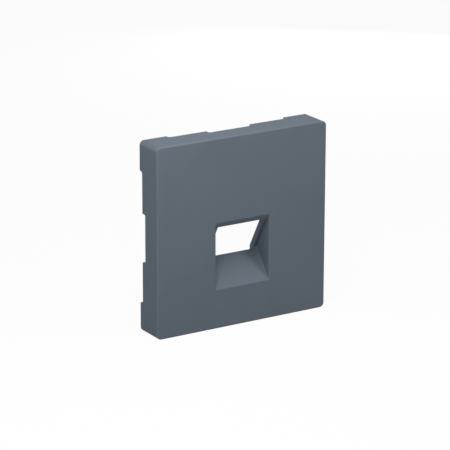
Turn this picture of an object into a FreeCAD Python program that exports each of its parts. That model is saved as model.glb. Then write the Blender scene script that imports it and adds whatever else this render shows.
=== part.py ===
"""Keystone faceplate: a square moulded cover plate with a slanted outlet for one jack.

The plate stands upright. X runs to the right and Z runs up. Y runs from the front face to the
open back. All sketches share that frame, with Y zero on the front face, and the finished body
is moved so that the origin is the middle of its footprint.
"""
import FreeCAD, Part
import os
import Sketcher

DRIVING_SIZES = {
    # plate and skirt
    "plate_side": 55.0,
    "plate_depth": 9.3,
    "corner_radius": 1.4,
    "front_edge_radius": 0.4,
    "front_wall": 2.0,
    "skirt_wall": 1.6,
    "skirt_inner_radius": 0.8,
    # stepped clearances in the rear rim, the same on all four sides
    "wide_step_length": 38.0,
    "wide_step_depth": 1.3,
    "wide_step_radius": 0.8,
    "narrow_step_length": 14.0,
    "narrow_step_depth": 2.8,
    "narrow_step_radius": 0.4,
    # outlet opening in the front face
    "opening_width": 17.4,
    "opening_height": 19.4,
    "opening_bottom": 11.4,
    "opening_edge_radius": 0.3,
    # slanted outlet: angles in degrees, the panel's from upright, the ramp's from level
    "panel_tilt": 30.0,
    "panel_wall": 1.6,
    "ramp_slope": 51.0,
    "ramp_wall": 2.2,
    "cheek_wall": 1.5,
    "ridge_wall": 1.8,
    "recess_radius": 0.35,
    # jack window in the tilted panel
    "window_width": 15.0,
    "window_drop": 1.6,
    "ramp_setback": 0.4,
    # ribs behind the front wall
    "rib_wall": 1.2,
    "rib_height": 1.8,
    "rib_gap": 3.2,
    # snap tongues behind the front wall
    "tongue_reach": 20.4,
    "tongue_wall": 1.3,
    "tongue_width": 6.0,
    "tongue_length": 6.6,
    "tongue_pitch": 24.0,
    "barb_height": 0.6,
    "barb_length": 1.6,
}

# How far a cut runs past the face that it opens through.
OVERCUT = 1.0
# How near a point must lie to a place to count as being there.
TOLERANCE = 0.01

# Heights and depths of the outlet that more than one sketch uses, as sheet formulas.
OPENING_TOP = "(Sizes.opening_bottom + Sizes.opening_height)"
RIDGE_DEPTH = "(Sizes.opening_height / (tan(Sizes.ramp_slope) + 1 / tan(Sizes.panel_tilt)))"
RIDGE_HEIGHT = f"(Sizes.opening_bottom + {RIDGE_DEPTH} * tan(Sizes.ramp_slope))"
HOOD_HALF_WIDTH = "(Sizes.opening_width / 2 + Sizes.cheek_wall)"
SKIRT_HALF_INSIDE = "(Sizes.plate_side / 2 - Sizes.skirt_wall)"


def make_sheet(doc):
    """Put each driving size into its own named cell."""
    sheet = doc.addObject("Spreadsheet::Sheet", "Sizes")
    for row, (name, value) in enumerate(DRIVING_SIZES.items(), start=1):
        sheet.set(f"A{row}", name)
        sheet.set(f"B{row}", str(value))
        sheet.setAlias(f"B{row}", name)
    doc.recompute()
    return sheet


def add_sketch(body, name, role, offset=None):
    """Attach an empty sketch to one of the body's origin planes, offset along its normal."""
    plane = next(item for item in body.Origin.OriginFeatures if item.Role == role)
    sketch = body.newObject("Sketcher::SketchObject", name)
    sketch.AttachmentSupport = [(plane, "")]
    sketch.MapMode = "FlatFace"
    if offset:
        sketch.setExpression("AttachmentOffset.Base.z", offset)
    return sketch


def add_outline(sketch, corners):
    """Draw a closed outline of straight lines whose corners are pairs of sheet formulas."""
    places = [
        FreeCAD.Vector(float(sketch.evalExpression(across)), float(sketch.evalExpression(up)), 0)
        for across, up in corners
    ]
    first = sketch.GeometryCount
    count = len(corners)
    for number in range(count):
        sketch.addGeometry(Part.LineSegment(places[number], places[(number + 1) % count]))
    for number in range(count):
        following = first + (number + 1) % count
        sketch.addConstraint(Sketcher.Constraint("Coincident", first + number, 2, following, 1))
    for number, (across, up) in enumerate(corners):
        line = first + number
        for kind, formula, value in (
            ("DistanceX", across, places[number].x),
            ("DistanceY", up, places[number].y),
        ):
            index = sketch.addConstraint(Sketcher.Constraint(kind, -1, 1, line, 1, value))
            sketch.setExpression(f"Constraints[{index}]", formula)


def rectangle(left, right, bottom, top):
    """Corner formulas of an upright rectangle, anticlockwise from its lower left corner."""
    return [(left, bottom), (right, bottom), (right, top), (left, top)]


def add_pad(body, sketch, name, length, direction):
    """Add material: direction is Forward, Reversed or Symmetric against the sketch's normal."""
    pad = body.newObject("PartDesign::Pad", name)
    set_extrusion(pad, sketch, length, direction)
    return pad


def add_pocket(body, sketch, name, length, direction):
    """Remove material: Forward cuts against the sketch's normal, Reversed along it."""
    pocket = body.newObject("PartDesign::Pocket", name)
    set_extrusion(pocket, sketch, length, direction)
    return pocket


def set_extrusion(feature, sketch, length, direction):
    """Give a pad or pocket its profile, its bound length and its direction."""
    feature.Profile = sketch
    feature.setExpression("Length", length)
    feature.Reversed = direction == "Reversed"
    if direction == "Symmetric":
        feature.SideType = "Symmetric"
    sketch.Visibility = False
    feature.Document.recompute()


def add_fillet(body, name, base, radius, wanted):
    """Round the edges of the base feature for which wanted(edge) is true."""
    edges = [
        f"Edge{number}"
        for number, edge in enumerate(base.Shape.Edges, start=1)
        if wanted(edge)
    ]
    if not edges:
        raise RuntimeError(f"{name} found no edge to round")
    fillet = body.newObject("PartDesign::Fillet", name)
    fillet.Base = (base, edges)
    fillet.setExpression("Radius", radius)
    body.Document.recompute()
    return fillet


def near(first, second):
    return abs(first - second) < TOLERANCE


def ends(edge):
    """The two end points of an edge."""
    return [vertex.Point for vertex in edge.Vertexes]


def lies_at(edge, **place):
    """True if both ends of the edge have the coordinates named, such as y=0."""
    points = ends(edge)
    return len(points) == 2 and all(
        near(getattr(point, axis), value) for point in points for axis, value in place.items()
    )


def runs_along(edge, axis):
    """True for a straight edge parallel to the X, Y or Z axis."""
    if edge.Curve.TypeId != "Part::GeomLine":
        return False
    return abs(getattr(edge.Curve.Direction, axis)) > 1 - TOLERANCE


def make_plate(body, size):
    """The square blank, rounded at its corners and front edge, then hollowed from behind."""
    half = "Sizes.plate_side / 2"
    outline = add_sketch(body, "plate_outline", "XZ_Plane")
    add_outline(outline, rectangle(f"-{half}", half, "0", "Sizes.plate_side"))
    blank = add_pad(body, outline, "plate_blank", "Sizes.plate_depth", "Reversed")
    corners = add_fillet(
        body, "plate_corners", blank, "Sizes.corner_radius", lambda edge: runs_along(edge, "y")
    )
    add_fillet(
        body, "front_edge", corners, "Sizes.front_edge_radius", lambda edge: lies_at(edge, y=0)
    )

    inside = add_sketch(body, "hollow_outline", "XZ_Plane", "-Sizes.plate_depth")
    add_outline(
        inside,
        rectangle(
            f"-{SKIRT_HALF_INSIDE}",
            SKIRT_HALF_INSIDE,
            "Sizes.skirt_wall",
            "Sizes.plate_side - Sizes.skirt_wall",
        ),
    )
    hollow = add_pocket(
        body, inside, "rear_hollow", "Sizes.plate_depth - Sizes.front_wall", "Reversed"
    )
    reach = size.plate_side / 2 - size.skirt_wall
    add_fillet(
        body,
        "hollow_corners",
        hollow,
        "Sizes.skirt_inner_radius",
        lambda edge: runs_along(edge, "y") and near(abs(edge.CenterOfMass.x), reach),
    )


def step_corners(middle):
    """The stepped clearance as pairs of place along the wall and depth from the front face."""
    wide = "Sizes.wide_step_length / 2"
    narrow = "Sizes.narrow_step_length / 2"
    past_rim = f"Sizes.plate_depth + {OVERCUT}"
    shallow = "Sizes.plate_depth - Sizes.wide_step_depth"
    deep = "Sizes.plate_depth - Sizes.narrow_step_depth"
    return [
        (f"{middle} - {wide}", past_rim),
        (f"{middle} - {wide}", shallow),
        (f"{middle} - {narrow}", shallow),
        (f"{middle} - {narrow}", deep),
        (f"{middle} + {narrow}", deep),
        (f"{middle} + {narrow}", shallow),
        (f"{middle} + {wide}", shallow),
        (f"{middle} + {wide}", past_rim),
    ]


def cut_rim_steps(body, size):
    """Cut the stepped clearances through all four walls and round the feet of the steps."""
    side_corners = [(depth, height) for height, depth in step_corners("Sizes.plate_side / 2")]
    side = add_sketch(body, "side_step_outline", "YZ_Plane")
    add_outline(side, side_corners)
    add_pocket(body, side, "side_steps", f"Sizes.plate_side + 2 * {OVERCUT}", "Symmetric")

    level = add_sketch(body, "level_step_outline", "XY_Plane", "Sizes.plate_side / 2")
    add_outline(level, step_corners("0"))
    cut = add_pocket(body, level, "level_steps", f"Sizes.plate_side + 2 * {OVERCUT}", "Symmetric")

    steps = (
        ("wide_step_feet", size.wide_step_length, size.wide_step_depth, "wide_step_radius"),
        ("narrow_step_feet", size.narrow_step_length, size.narrow_step_depth, "narrow_step_radius"),
    )
    for name, length, depth, radius in steps:
        foot = size.plate_depth - depth
        heights = (size.plate_side / 2 - length / 2, size.plate_side / 2 + length / 2)
        across = (-length / 2, length / 2)
        cut = add_fillet(
            body,
            name,
            cut,
            f"Sizes.{radius}",
            lambda edge: any(lies_at(edge, y=foot, z=height) for height in heights)
            or any(lies_at(edge, y=foot, x=place) for place in across),
        )


def add_ribs(body):
    """Low ribs behind the front wall: two in line with the cheeks, two above and below them."""
    into_skirt = "Sizes.skirt_wall / 2"
    low = into_skirt
    high = f"Sizes.plate_side - {into_skirt}"
    inner = "Sizes.opening_width / 2"
    upright = add_sketch(body, "upright_rib_outline", "XZ_Plane", "-Sizes.front_wall")
    add_outline(upright, rectangle(inner, HOOD_HALF_WIDTH, low, high))
    add_outline(upright, rectangle(f"-{HOOD_HALF_WIDTH}", f"-{inner}", low, high))
    add_pad(body, upright, "upright_ribs", "Sizes.rib_height", "Reversed")

    reach = f"(Sizes.plate_side / 2 - {into_skirt})"
    below = "Sizes.opening_bottom - Sizes.rib_gap"
    above = f"{OPENING_TOP} + Sizes.rib_gap"
    level = add_sketch(body, "level_rib_outline", "XZ_Plane", "-Sizes.front_wall")
    add_outline(level, rectangle(f"-{reach}", reach, f"{below} - Sizes.rib_wall", below))
    add_outline(level, rectangle(f"-{reach}", reach, above, f"{above} + Sizes.rib_wall"))
    add_pad(body, level, "level_ribs", "Sizes.rib_height", "Reversed")


def add_tongues(body):
    """Four snap tongues: a left and a right one with outward barbs, repeated further up."""
    tip = "(Sizes.front_wall + Sizes.tongue_length)"
    catch = f"{tip} - Sizes.barb_length"
    outer = "Sizes.tongue_reach"
    barb = f"({outer} + Sizes.barb_height)"
    inner = f"({outer} - Sizes.tongue_wall)"
    right = [
        (inner, "Sizes.front_wall"),
        (outer, "Sizes.front_wall"),
        (outer, catch),
        (barb, f"{catch} + Sizes.barb_height"),
        (outer, tip),
        (inner, tip),
    ]
    left = [(f"-{across}", depth) for across, depth in right]
    lower_middle = "Sizes.plate_side / 2 - Sizes.tongue_pitch / 2"
    outline = add_sketch(body, "tongue_outline", "XY_Plane", lower_middle)
    add_outline(outline, right)
    add_outline(outline, left)
    lower = add_pad(body, outline, "lower_tongues", "Sizes.tongue_width", "Symmetric")
    pattern = body.newObject("PartDesign::LinearPattern", "all_tongues")
    pattern.Originals = [lower]
    pattern.Direction = (outline, ["N_Axis"])
    pattern.setExpression("Length", "Sizes.tongue_pitch")
    pattern.Occurrences = 2
    body.Tip = pattern
    body.Document.recompute()


def add_outlet(body, size):
    """The slanted outlet: its hood, the recess in front of it and the jack window."""
    ramp_back = "Sizes.opening_bottom - Sizes.ramp_wall / cos(Sizes.ramp_slope)"
    panel_back = f"{OPENING_TOP} + Sizes.panel_wall / sin(Sizes.panel_tilt)"
    hood_depth = f"({RIDGE_DEPTH} + Sizes.ridge_wall)"
    hood = add_sketch(body, "hood_outline", "YZ_Plane")
    add_outline(
        hood,
        [
            ("Sizes.front_wall", f"{ramp_back} + Sizes.front_wall * tan(Sizes.ramp_slope)"),
            (hood_depth, f"{ramp_back} + {hood_depth} * tan(Sizes.ramp_slope)"),
            (hood_depth, f"{panel_back} - {hood_depth} / tan(Sizes.panel_tilt)"),
            ("Sizes.front_wall", f"{panel_back} - Sizes.front_wall / tan(Sizes.panel_tilt)"),
        ],
    )
    add_pad(body, hood, "hood", f"2 * {HOOD_HALF_WIDTH}", "Symmetric")

    recess = add_sketch(body, "recess_outline", "YZ_Plane")
    add_outline(
        recess,
        [
            (f"-{OVERCUT}", f"Sizes.opening_bottom - {OVERCUT} * tan(Sizes.ramp_slope)"),
            (RIDGE_DEPTH, RIDGE_HEIGHT),
            (f"-{OVERCUT}", f"{OPENING_TOP} + {OVERCUT} / tan(Sizes.panel_tilt)"),
        ],
    )
    add_pocket(body, recess, "recess", "Sizes.opening_width", "Symmetric")

    window_top = f"{OPENING_TOP} - Sizes.window_drop"
    foot_depth = f"({RIDGE_DEPTH} - Sizes.ramp_setback * cos(Sizes.ramp_slope))"
    foot_height = f"({RIDGE_HEIGHT} - Sizes.ramp_setback * sin(Sizes.ramp_slope))"
    past_rim = f"(Sizes.plate_depth + {OVERCUT})"
    end_slant = f"({past_rim} - {foot_depth}) / tan(Sizes.ramp_slope)"
    window = add_sketch(body, "window_outline", "YZ_Plane")
    add_outline(
        window,
        [
            (f"-{OVERCUT}", foot_height),
            (foot_depth, foot_height),
            (past_rim, f"{foot_height} - {end_slant}"),
            (past_rim, window_top),
            (f"-{OVERCUT}", window_top),
        ],
    )
    cut = add_pocket(body, window, "jack_window", "Sizes.window_width", "Symmetric")

    half = size.opening_width / 2
    rounded = add_fillet(
        body,
        "recess_corners",
        cut,
        "Sizes.recess_radius",
        lambda edge: lies_in_cheek(edge, half) and touches(edge, half, size.opening_bottom),
    )
    add_fillet(
        body,
        "opening_edge",
        rounded,
        "Sizes.opening_edge_radius",
        lambda edge: is_opening_edge(edge, size),
    )


def lies_in_cheek(edge, half):
    """True for an edge in one of the two cheek faces that leaves the front face."""
    return (lies_at(edge, x=half) or lies_at(edge, x=-half)) and not lies_at(edge, y=0)


def touches(edge, half, height):
    """True if the edge starts at a lower corner of the opening in the front face."""
    return any(
        near(abs(point.x), half) and near(point.y, 0) and near(point.z, height)
        for point in ends(edge)
    )


def is_opening_edge(edge, size):
    """True for an edge in the front face whose middle lies on the outlet opening's outline."""
    middle = edge.CenterOfMass
    top = size.opening_bottom + size.opening_height
    return (
        lies_at(edge, y=0)
        and abs(middle.x) <= size.opening_width / 2 + TOLERANCE
        and size.opening_bottom - TOLERANCE <= middle.z <= top + TOLERANCE
    )


def check(doc, body):
    """Stop if any object failed, or if a pad or pocket left the volume as it was."""
    for item in doc.Objects:
        if "Invalid" in item.State or "Error" in item.State:
            raise RuntimeError(f"{item.Label} failed: {item.State}")
    for item in body.Group:
        if item.TypeId in ("PartDesign::Pad", "PartDesign::Pocket") and item.BaseFeature:
            change = item.Shape.Volume - item.BaseFeature.Shape.Volume
            grows = item.TypeId == "PartDesign::Pad"
            if near(change, 0) or (change > 0) != grows:
                raise RuntimeError(f"{item.Label} changed the volume by {change:.3f}")
    if body.Shape.isNull() or not body.Shape.isValid() or len(body.Shape.Solids) != 1:
        raise RuntimeError(f"{body.Label} isn't one valid solid")


def main():
    doc = FreeCAD.newDocument("keystone_faceplate")
    size = make_sheet(doc)
    body = doc.addObject("PartDesign::Body", "faceplate")
    body.Label = "faceplate"
    make_plate(body, size)
    cut_rim_steps(body, size)
    add_ribs(body)
    add_tongues(body)
    add_outlet(body, size)
    body.setExpression("Placement.Base.y", "-Sizes.plate_depth / 2")
    doc.recompute()
    check(doc, body)
    os.makedirs("parts", exist_ok=True)
    body.Shape.exportStep("parts/faceplate.step")
    box = body.Shape.optimalBoundingBox(True, False)
    print(f"faceplate {box.XLength:.2f} x {box.YLength:.2f} x {box.ZLength:.2f} mm")
    print(f"volume {body.Shape.Volume:.1f} mm3, {len(body.Shape.Faces)} faces")


main()
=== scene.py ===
"""Studio picture of the keystone faceplate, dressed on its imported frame. Lengths are metres."""

import math

import bmesh
import bpy
import numpy as np
from mathutils import Matrix, Vector


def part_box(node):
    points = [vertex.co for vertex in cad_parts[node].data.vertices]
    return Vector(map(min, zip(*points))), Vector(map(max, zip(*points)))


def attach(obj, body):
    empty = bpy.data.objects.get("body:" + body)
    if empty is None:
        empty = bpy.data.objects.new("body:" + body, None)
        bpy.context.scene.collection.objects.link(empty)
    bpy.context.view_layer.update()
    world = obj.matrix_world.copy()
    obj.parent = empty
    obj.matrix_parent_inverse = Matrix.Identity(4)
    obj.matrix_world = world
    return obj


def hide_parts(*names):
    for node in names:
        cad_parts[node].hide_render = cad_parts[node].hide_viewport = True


MM = 0.001

# Camera: a long lens from the plate's upper left. Its focal length is given in pixels of a picture
# 450 pixels wide.
PICTURE_PIXELS = 450
SENSOR_WIDTH = 36.0
FOCAL_PIXELS = 2686.0
CAMERA_YAW = math.radians(31.79)
CAMERA_PITCH = math.radians(17.49)
CAMERA_ROLL = math.radians(0.18)
CAMERA_DISTANCE = 744.6 * MM
CLIP_SPAN = 100
AIM_RIGHT = -4.93 * MM
AIM_UP = 1.37 * MM

# Outlet of the plate, measured from the middle of the front face's lower edge.
OUTLET_HALF_WIDTH = 8.7 * MM
OUTLET_BOTTOM = 11.4 * MM
OUTLET_TOP = 30.8 * MM
PANEL_TILT = math.radians(30)
RAMP_SLOPE = math.radians(51)
CORNER_RADIUS = 1.4 * MM

# Mesh finish.
MERGE_DISTANCE = 0.0005 * MM
FLAT_ANGLE = math.radians(0.5)
CRISP_ANGLE = math.radians(40)
EDGE_ROUND = 0.06 * MM
EDGE_ROUND_STEPS = 2
EDGE_ROUND_PROFILE = 0.5
MOST_CORNERS = 4
SKIN_DEPTH = 0.12 * MM
FRONT_SKIN_DEPTH = 0.45 * MM
FLAT_TO_FRONT = -0.995

# Slate grey thermoplastic, in linear light.
SLATE = (0.1165, 0.1420, 0.1705, 1)
SLATE_LIGHT = (0.1235, 0.1505, 0.1805, 1)
# The next colour is a painted highlight, laid lighter on the front edge fillets.
SLATE_EDGE_HIGHLIGHT = (0.1400, 0.1700, 0.2020, 1)

# Finishes. The outside keeps the mould's sparked texture, the inside the plain core's cutter marks.
# The fourth value of each finish sets how strongly the front edge fillets get the painted highlight
# and the smoother polish.
OUTSIDE_FINISH = {"pits": 6500.0, "bump": 0.25, "roughness": 0.80, "highlight_and_polish": 0.9, "cutter": 0.0}
INSIDE_FINISH = {"pits": 2600.0, "bump": 0.10, "roughness": 0.62, "highlight_and_polish": 0.5, "cutter": 0.35}
PLASTIC_IOR = 1.5
MATT_SPECULAR = 0.2
GRAIN_DEPTH = 0.02 * MM
GRAIN_SOFTNESS = 0.8
CLOUDS_PER_PIT = 0.45
FLOW_PATCHES = 55.0
FLOW_CALM = 0.35
FLOW_LIVELY = 0.65
FLOW_ROUGHNESS = 0.05
# Noise that breaks up the painted edge highlight and the polish, then how much the polish lowers
# roughness.
HIGHLIGHT_BREAKUP_SPOTS = 900.0
TOUCH_POLISH = 0.12
CUTTER_LINES = 900.0

# Studio: directions as azimuth and elevation in degrees. Azimuth 0 is in front, minus is left.
# Each box is square. Reach is its distance from the plate's middle, side its length, in metres.
LAMPS = (
    {"name": "left_box", "azimuth": -42, "elevation": 30, "reach": 0.20, "side": 0.08, "watts": 0.15},
    {"name": "right_box", "azimuth": 42, "elevation": 18, "reach": 0.35, "side": 0.12, "watts": 0.43},
    {"name": "high_box", "azimuth": -36, "elevation": 69, "reach": 0.20, "side": 0.10, "watts": 0.28},
    {"name": "side_box", "azimuth": -92, "elevation": 8, "reach": 0.28, "side": 0.12, "watts": 0.176},
    {"name": "rear_box", "azimuth": 140, "elevation": 8, "reach": 0.35, "side": 0.12, "watts": 0.38},
)
# Strengths as the plate is lit by them, and as the camera and reflections see them.
SKY_STRENGTH = 0.02
BACKDROP_WHITE = 0.982
FLOOR_SIZE = 6.0
FLOOR_TONE = 0.20
FLOOR_GLOW = 0.05
FLOOR_TONE_SEEN = 0.035
FLOOR_GLOW_SEEN = 0.955


def add_node(tree, kind, **values):
    """Add a node. A capitalised name sets an input's default, any other name a property."""
    node = tree.nodes.new(kind)
    for name, value in values.items():
        if name[0].isupper():
            node.inputs[name.replace("_", " ")].default_value = value
        else:
            setattr(node, name, value)
    return node


def feed(tree, value, socket):
    """Join a socket to another one, or set its default where the value is a plain number."""
    if isinstance(value, bpy.types.NodeSocket):
        tree.links.new(value, socket)
    else:
        socket.default_value = value


def maths(tree, operation, first, second=0.0, clamp=False):
    """One Math node; each operand is a socket or a number."""
    node = add_node(tree, "ShaderNodeMath", operation=operation, use_clamp=clamp)
    feed(tree, first, node.inputs[0])
    feed(tree, second, node.inputs[1])
    return node.outputs[0]


def blend_colour(tree, factor, first, second):
    """A colour mix by a factor; each colour is a socket or a value."""
    node = add_node(tree, "ShaderNodeMix", data_type="RGBA")
    feed(tree, factor, node.inputs["Factor"])
    feed(tree, first, node.inputs[6])
    feed(tree, second, node.inputs[7])
    return node.outputs[2]


def new_group(name, inputs, outputs):
    """A shader node group; inputs and outputs map socket names to Float, Vector or Color."""
    tree = bpy.data.node_groups.new(name, "ShaderNodeTree")
    for direction, sockets in (("INPUT", inputs), ("OUTPUT", outputs)):
        for label, kind in sockets.items():
            tree.interface.new_socket(label, in_out=direction, socket_type=f"NodeSocket{kind}")
    return tree, tree.nodes.new("NodeGroupInput"), tree.nodes.new("NodeGroupOutput")


def place_group(tree, group, **values):
    """Put a group into a material with its own values, which may be sockets."""
    node = add_node(tree, "ShaderNodeGroup", node_tree=group)
    for name, value in values.items():
        feed(tree, value, node.inputs[name.replace("_", " ")])
    return node


def background_rays(tree):
    """1 for the rays that show the white background: camera, glossy and transmission rays."""
    path = add_node(tree, "ShaderNodeLightPath")
    camera_or_glossy = maths(
        tree, "MAXIMUM", path.outputs["Is Camera Ray"], path.outputs["Is Glossy Ray"]
    )
    return maths(tree, "MAXIMUM", camera_or_glossy, path.outputs["Is Transmission Ray"])


def spark_grain_group():
    """Fine sparked mould texture: shallow rounded pits with a softer unevenness under them."""
    tree, given, result = new_group(
        "spark_grain",
        {"Place": "Vector", "Pits per metre": "Float", "Softness": "Float"},
        {"Height": "Float", "Pits": "Float"},
    )
    pits = add_node(tree, "ShaderNodeTexVoronoi", feature="F1")
    tree.links.new(given.outputs["Place"], pits.inputs["Vector"])
    tree.links.new(given.outputs["Pits per metre"], pits.inputs["Scale"])
    cloud = add_node(tree, "ShaderNodeTexNoise", Detail=2.0, Roughness=0.6)
    tree.links.new(given.outputs["Place"], cloud.inputs["Vector"])
    clouds = maths(tree, "MULTIPLY", given.outputs["Pits per metre"], CLOUDS_PER_PIT)
    tree.links.new(clouds, cloud.inputs["Scale"])
    soft = maths(tree, "MULTIPLY", cloud.outputs[0], given.outputs["Softness"])
    height = maths(tree, "ADD", pits.outputs["Distance"], soft)
    tree.links.new(height, result.inputs["Height"])
    tree.links.new(pits.outputs["Distance"], result.inputs["Pits"])
    return tree


def flow_tone_group():
    """Slow drift of tone left by the plastic's flow into the mould."""
    tree, given, result = new_group(
        "flow_tone",
        {"Place": "Vector", "Patches per metre": "Float", "Calm": "Color", "Lively": "Color"},
        {"Colour": "Color", "Drift": "Float"},
    )
    drift = add_node(tree, "ShaderNodeTexNoise", Detail=3.0, Roughness=0.45, Distortion=0.6)
    tree.links.new(given.outputs["Place"], drift.inputs["Vector"])
    tree.links.new(given.outputs["Patches per metre"], drift.inputs["Scale"])
    spread = add_node(tree, "ShaderNodeMapRange", interpolation_type="SMOOTHSTEP")
    spread.inputs["From Min"].default_value = FLOW_CALM
    spread.inputs["From Max"].default_value = FLOW_LIVELY
    tree.links.new(drift.outputs[0], spread.inputs["Value"])
    colour = blend_colour(
        tree, spread.outputs[0], given.outputs["Calm"], given.outputs["Lively"]
    )
    tree.links.new(colour, result.inputs["Colour"])
    tree.links.new(spread.outputs[0], result.inputs["Drift"])
    return tree


def edge_highlight_and_polish_group():
    """Painted highlight on the front edge fillets: a lighter colour from the edge mask of the mesh,
    broken up by a fine noise. The same mask also polishes them smoother.
    """
    tree, given, result = new_group(
        "edge_highlight_and_polish",
        {"Place": "Vector", "Edge": "Float", "Amount": "Float", "Colour": "Color", "Worn": "Color"},
        {"Colour": "Color", "Mask": "Float"},
    )
    breakup = add_node(tree, "ShaderNodeTexNoise", Scale=HIGHLIGHT_BREAKUP_SPOTS, Detail=2.0)
    tree.links.new(given.outputs["Place"], breakup.inputs["Vector"])
    broken = maths(tree, "MULTIPLY", given.outputs["Edge"], breakup.outputs[0])
    mask = maths(tree, "MULTIPLY", broken, given.outputs["Amount"], clamp=True)
    colour = blend_colour(tree, mask, given.outputs["Colour"], given.outputs["Worn"])
    tree.links.new(colour, result.inputs["Colour"])
    tree.links.new(mask, result.inputs["Mask"])
    return tree


def cutter_lines_group():
    """Faint straight cutter marks of the mould's core, which only the back of a cover keeps."""
    tree, given, result = new_group(
        "cutter_lines",
        {"Place": "Vector", "Lines per metre": "Float"},
        {"Height": "Float"},
    )
    lines = add_node(tree, "ShaderNodeTexWave", bands_direction="DIAGONAL", Distortion=1.5)
    lines.inputs["Detail"].default_value = 1.0
    tree.links.new(given.outputs["Place"], lines.inputs["Vector"])
    tree.links.new(given.outputs["Lines per metre"], lines.inputs["Scale"])
    tree.links.new(lines.outputs["Fac"], result.inputs["Height"])
    return tree


def plastic_material(name, groups, finish):
    """The slate plastic with one of its two finishes."""
    material = bpy.data.materials.new(name)
    material.use_nodes = True
    tree = material.node_tree
    tree.nodes.clear()
    place = add_node(tree, "ShaderNodeTexCoord").outputs["Object"]
    edge = add_node(tree, "ShaderNodeAttribute", attribute_name="edge").outputs["Fac"]
    grain = place_group(
        tree,
        groups["grain"],
        Place=place,
        Pits_per_metre=finish["pits"],
        Softness=GRAIN_SOFTNESS,
    )
    tone = place_group(
        tree,
        groups["tone"],
        Place=place,
        Patches_per_metre=FLOW_PATCHES,
        Calm=SLATE,
        Lively=SLATE_LIGHT,
    )
    # Painted highlight: the front edge fillets are coloured lighter, and also made smoother.
    highlight_and_polish = place_group(
        tree,
        groups["highlight_and_polish"],
        Place=place,
        Edge=edge,
        Amount=finish["highlight_and_polish"],
        Colour=tone.outputs["Colour"],
        Worn=SLATE_EDGE_HIGHLIGHT,
    )
    height = grain.outputs["Height"]
    if finish["cutter"]:
        cutter = place_group(tree, groups["cutter"], Place=place, Lines_per_metre=CUTTER_LINES)
        marks = maths(tree, "MULTIPLY", cutter.outputs["Height"], finish["cutter"])
        height = maths(tree, "ADD", height, marks)
    bump = add_node(tree, "ShaderNodeBump", Strength=finish["bump"], Distance=GRAIN_DEPTH)
    tree.links.new(height, bump.inputs["Height"])
    drifted = maths(tree, "MULTIPLY", tone.outputs["Drift"], FLOW_ROUGHNESS)
    polished = maths(tree, "MULTIPLY", highlight_and_polish.outputs["Mask"], TOUCH_POLISH)
    rough = maths(tree, "ADD", drifted, finish["roughness"])
    surface = add_node(
        tree, "ShaderNodeBsdfPrincipled", IOR=PLASTIC_IOR, Specular_IOR_Level=MATT_SPECULAR
    )
    tree.links.new(highlight_and_polish.outputs["Colour"], surface.inputs["Base Color"])
    feed(tree, maths(tree, "SUBTRACT", rough, polished), surface.inputs["Roughness"])
    tree.links.new(bump.outputs[0], surface.inputs["Normal"])
    output = add_node(tree, "ShaderNodeOutputMaterial")
    tree.links.new(surface.outputs[0], output.inputs["Surface"])
    return material


def plastic_finishes():
    """The two materials in slot order: sparked matt outside, plainer and smoother inside."""
    groups = {
        "grain": spark_grain_group(),
        "tone": flow_tone_group(),
        "highlight_and_polish": edge_highlight_and_polish_group(),
        "cutter": cutter_lines_group(),
    }
    return [
        plastic_material("sparked_outside", groups, OUTSIDE_FINISH),
        plastic_material("plain_inside", groups, INSIDE_FINISH),
    ]


def rounded_moulding(node, front_at):
    """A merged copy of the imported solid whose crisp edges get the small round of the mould."""
    mesh = node.data.copy()
    mesh.materials.clear()
    form = bmesh.new()
    form.from_mesh(mesh)
    bmesh.ops.remove_doubles(form, verts=form.verts, dist=MERGE_DISTANCE)
    bmesh.ops.dissolve_limit(form, angle_limit=FLAT_ANGLE, verts=form.verts, edges=form.edges)
    edge_mask = form.faces.layers.float.new("edge")
    crisp = [
        edge for edge in form.edges
        if len(edge.link_faces) == 2 and edge.calc_face_angle() > CRISP_ANGLE
    ]
    bmesh.ops.bevel(
        form,
        geom=crisp,
        offset=EDGE_ROUND,
        offset_type="OFFSET",
        segments=EDGE_ROUND_STEPS,
        profile=EDGE_ROUND_PROFILE,
        affect="EDGES",
        clamp_overlap=True,
    )
    form.normal_update()
    # Mark the faces near the front that are not flat front, the edge fillets, where the painted
    # highlight goes.
    for face in form.faces:
        near_front = face.calc_center_median().y - front_at < FRONT_SKIN_DEPTH
        face[edge_mask] = 1.0 if near_front and face.normal.y > FLAT_TO_FRONT else 0.0
    many_sided = [face for face in form.faces if len(face.verts) > MOST_CORNERS]
    bmesh.ops.triangulate(form, faces=many_sided)
    form.to_mesh(mesh)
    form.free()
    return mesh


def outside_faces(mesh, low, high):
    """True for each face of the cavity side: front, outer skirt, and outlet down to its panel.

    The skirt is where the distance to a square with rounded corners is under a thin skin. The
    outlet is the wedge in front of the ramp plane and the panel plane, with the same skin.
    """
    centres = np.empty(len(mesh.polygons) * 3)
    mesh.polygons.foreach_get("center", centres)
    across, back, up = centres.reshape(-1, 3).T
    depth = back - low.y
    half = (high.x - low.x) / 2
    inset = half - CORNER_RADIUS
    beyond_x = np.abs(across) - inset
    beyond_z = np.abs(up - (low.z + high.z) / 2) - inset
    corner = np.hypot(np.maximum(beyond_x, 0), np.maximum(beyond_z, 0))
    gap = CORNER_RADIUS - corner - np.minimum(np.maximum(beyond_x, beyond_z), 0)
    skirt = gap < SKIN_DEPTH
    front = depth < FRONT_SKIN_DEPTH
    panel = math.tan(PANEL_TILT) * (OUTLET_TOP - up) + SKIN_DEPTH
    ramp = (up - OUTLET_BOTTOM) / math.tan(RAMP_SLOPE) + SKIN_DEPTH
    outlet = (depth > 0) & (depth < panel) & (depth < ramp)
    outlet &= (up > OUTLET_BOTTOM) & (up < OUTLET_TOP)
    outlet &= np.abs(across) < OUTLET_HALF_WIDTH + SKIN_DEPTH
    return skirt | front | outlet


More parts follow.
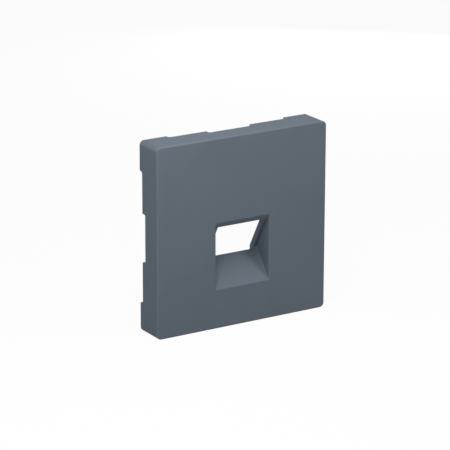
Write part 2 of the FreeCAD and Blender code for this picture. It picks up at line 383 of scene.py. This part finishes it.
def make_moulding(frame):
    """The whole faceplate: one moulding with a textured outside and a plain inside."""
    low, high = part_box("faceplate")
    mesh = rounded_moulding(frame["nodes"]["faceplate"], low.y)
    for material in plastic_finishes():
        mesh.materials.append(material)
    inside = np.where(outside_faces(mesh, low, high), 0, 1)
    mesh.polygons.foreach_set("material_index", inside.astype(np.int32))
    mesh.shade_smooth()
    mesh.set_sharp_from_angle(angle=CRISP_ANGLE)
    piece = bpy.data.objects.new("moulding", mesh)
    bpy.context.scene.collection.objects.link(piece)
    weighted = piece.modifiers.new("face_weighted_normals", "WEIGHTED_NORMAL")
    weighted.keep_sharp = True
    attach(piece, "root")
    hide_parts("faceplate")
    return piece


def make_camera(low, high):
    """A long lens from the upper left, aimed a little beside the middle of the front face."""
    middle = Vector(((low.x + high.x) / 2, low.y, (low.z + high.z) / 2))
    forward = Vector((
        math.sin(CAMERA_YAW) * math.cos(CAMERA_PITCH),
        math.cos(CAMERA_YAW) * math.cos(CAMERA_PITCH),
        -math.sin(CAMERA_PITCH),
    ))
    level_right = Vector((math.cos(CAMERA_YAW), -math.sin(CAMERA_YAW), 0))
    level_up = level_right.cross(forward)
    right = level_right * math.cos(CAMERA_ROLL) + level_up * math.sin(CAMERA_ROLL)
    up = level_up * math.cos(CAMERA_ROLL) - level_right * math.sin(CAMERA_ROLL)
    data = bpy.data.cameras.new("camera")
    data.sensor_width = SENSOR_WIDTH
    data.lens = FOCAL_PIXELS / PICTURE_PIXELS * SENSOR_WIDTH
    data.clip_start = CAMERA_DISTANCE / CLIP_SPAN
    data.clip_end = CAMERA_DISTANCE * CLIP_SPAN
    camera = bpy.data.objects.new("camera", data)
    bpy.context.scene.collection.objects.link(camera)
    place = middle - forward * CAMERA_DISTANCE + right * AIM_RIGHT + up * AIM_UP
    turn = Matrix((right, up, -forward)).transposed()
    camera.matrix_world = Matrix.Translation(place) @ turn.to_4x4()
    bpy.context.scene.camera = camera


def make_floor(height):
    """A flat square floor. Where seen it glows to near white, and it keeps the plate's shadow."""
    half = FLOOR_SIZE / 2
    mesh = bpy.data.meshes.new("floor")
    around = ((-half, -half), (half, -half), (half, half), (-half, half))
    mesh.from_pydata([(across, back, height) for across, back in around], [], [(0, 1, 2, 3)])
    material = bpy.data.materials.new("pale_floor")
    material.use_nodes = True
    tree = material.node_tree
    tree.nodes.clear()
    seen = background_rays(tree)
    tone = (FLOOR_TONE, FLOOR_TONE, FLOOR_TONE, 1)
    tone_seen = (FLOOR_TONE_SEEN, FLOOR_TONE_SEEN, FLOOR_TONE_SEEN, 1)
    matt = add_node(tree, "ShaderNodeBsdfDiffuse")
    tree.links.new(blend_colour(tree, seen, tone, tone_seen), matt.inputs["Color"])
    glow = add_node(tree, "ShaderNodeEmission", Color=(1, 1, 1, 1))
    extra = maths(tree, "MULTIPLY", seen, FLOOR_GLOW_SEEN - FLOOR_GLOW)
    feed(tree, maths(tree, "ADD", extra, FLOOR_GLOW), glow.inputs["Strength"])
    both = add_node(tree, "ShaderNodeAddShader")
    tree.links.new(matt.outputs[0], both.inputs[0])
    tree.links.new(glow.outputs[0], both.inputs[1])
    output = add_node(tree, "ShaderNodeOutputMaterial")
    tree.links.new(both.outputs[0], output.inputs["Surface"])
    mesh.materials.append(material)
    floor = bpy.data.objects.new("floor", mesh)
    bpy.context.scene.collection.objects.link(floor)


def make_sky():
    """Even dim light all round, seen by the camera and in reflections as a white backdrop."""
    world = bpy.data.worlds.new("studio")
    world.use_nodes = True
    tree = world.node_tree
    tree.nodes.clear()
    seen = background_rays(tree)
    background = add_node(tree, "ShaderNodeBackground", Color=(1, 1, 1, 1))
    extra = maths(tree, "MULTIPLY", seen, BACKDROP_WHITE - SKY_STRENGTH)
    feed(tree, maths(tree, "ADD", extra, SKY_STRENGTH), background.inputs["Strength"])
    output = add_node(tree, "ShaderNodeOutputWorld")
    tree.links.new(background.outputs[0], output.inputs["Surface"])
    bpy.context.scene.world = world


def make_lamps(target):
    """Small soft boxes close to the plate, so that their light falls off across it."""
    for lamp in LAMPS:
        azimuth = math.radians(lamp["azimuth"])
        elevation = math.radians(lamp["elevation"])
        towards = Vector((
            math.sin(azimuth) * math.cos(elevation),
            -math.cos(azimuth) * math.cos(elevation),
            math.sin(elevation),
        ))
        data = bpy.data.lights.new(lamp["name"], "AREA")
        data.shape = "SQUARE"
        data.size = lamp["side"]
        data.energy = lamp["watts"]
        box = bpy.data.objects.new(lamp["name"], data)
        bpy.context.scene.collection.objects.link(box)
        box.location = target + towards * lamp["reach"]
        box.rotation_euler = (-towards).to_track_quat("-Z", "Y").to_euler()
        box.visible_camera = False


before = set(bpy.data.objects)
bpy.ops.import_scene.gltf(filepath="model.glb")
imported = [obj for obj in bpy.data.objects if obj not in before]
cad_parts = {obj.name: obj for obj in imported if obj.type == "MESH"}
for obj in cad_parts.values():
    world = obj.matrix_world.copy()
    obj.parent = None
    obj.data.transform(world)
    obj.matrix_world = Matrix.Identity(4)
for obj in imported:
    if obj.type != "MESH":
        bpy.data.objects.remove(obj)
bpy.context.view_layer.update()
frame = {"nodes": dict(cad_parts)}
low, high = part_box("faceplate")
bpy.context.scene.view_settings.view_transform = "Standard"
make_moulding(frame)
make_camera(low, high)
make_floor(low.z)
make_sky()
make_lamps(Vector((0, 0, (low.z + high.z) / 2)))
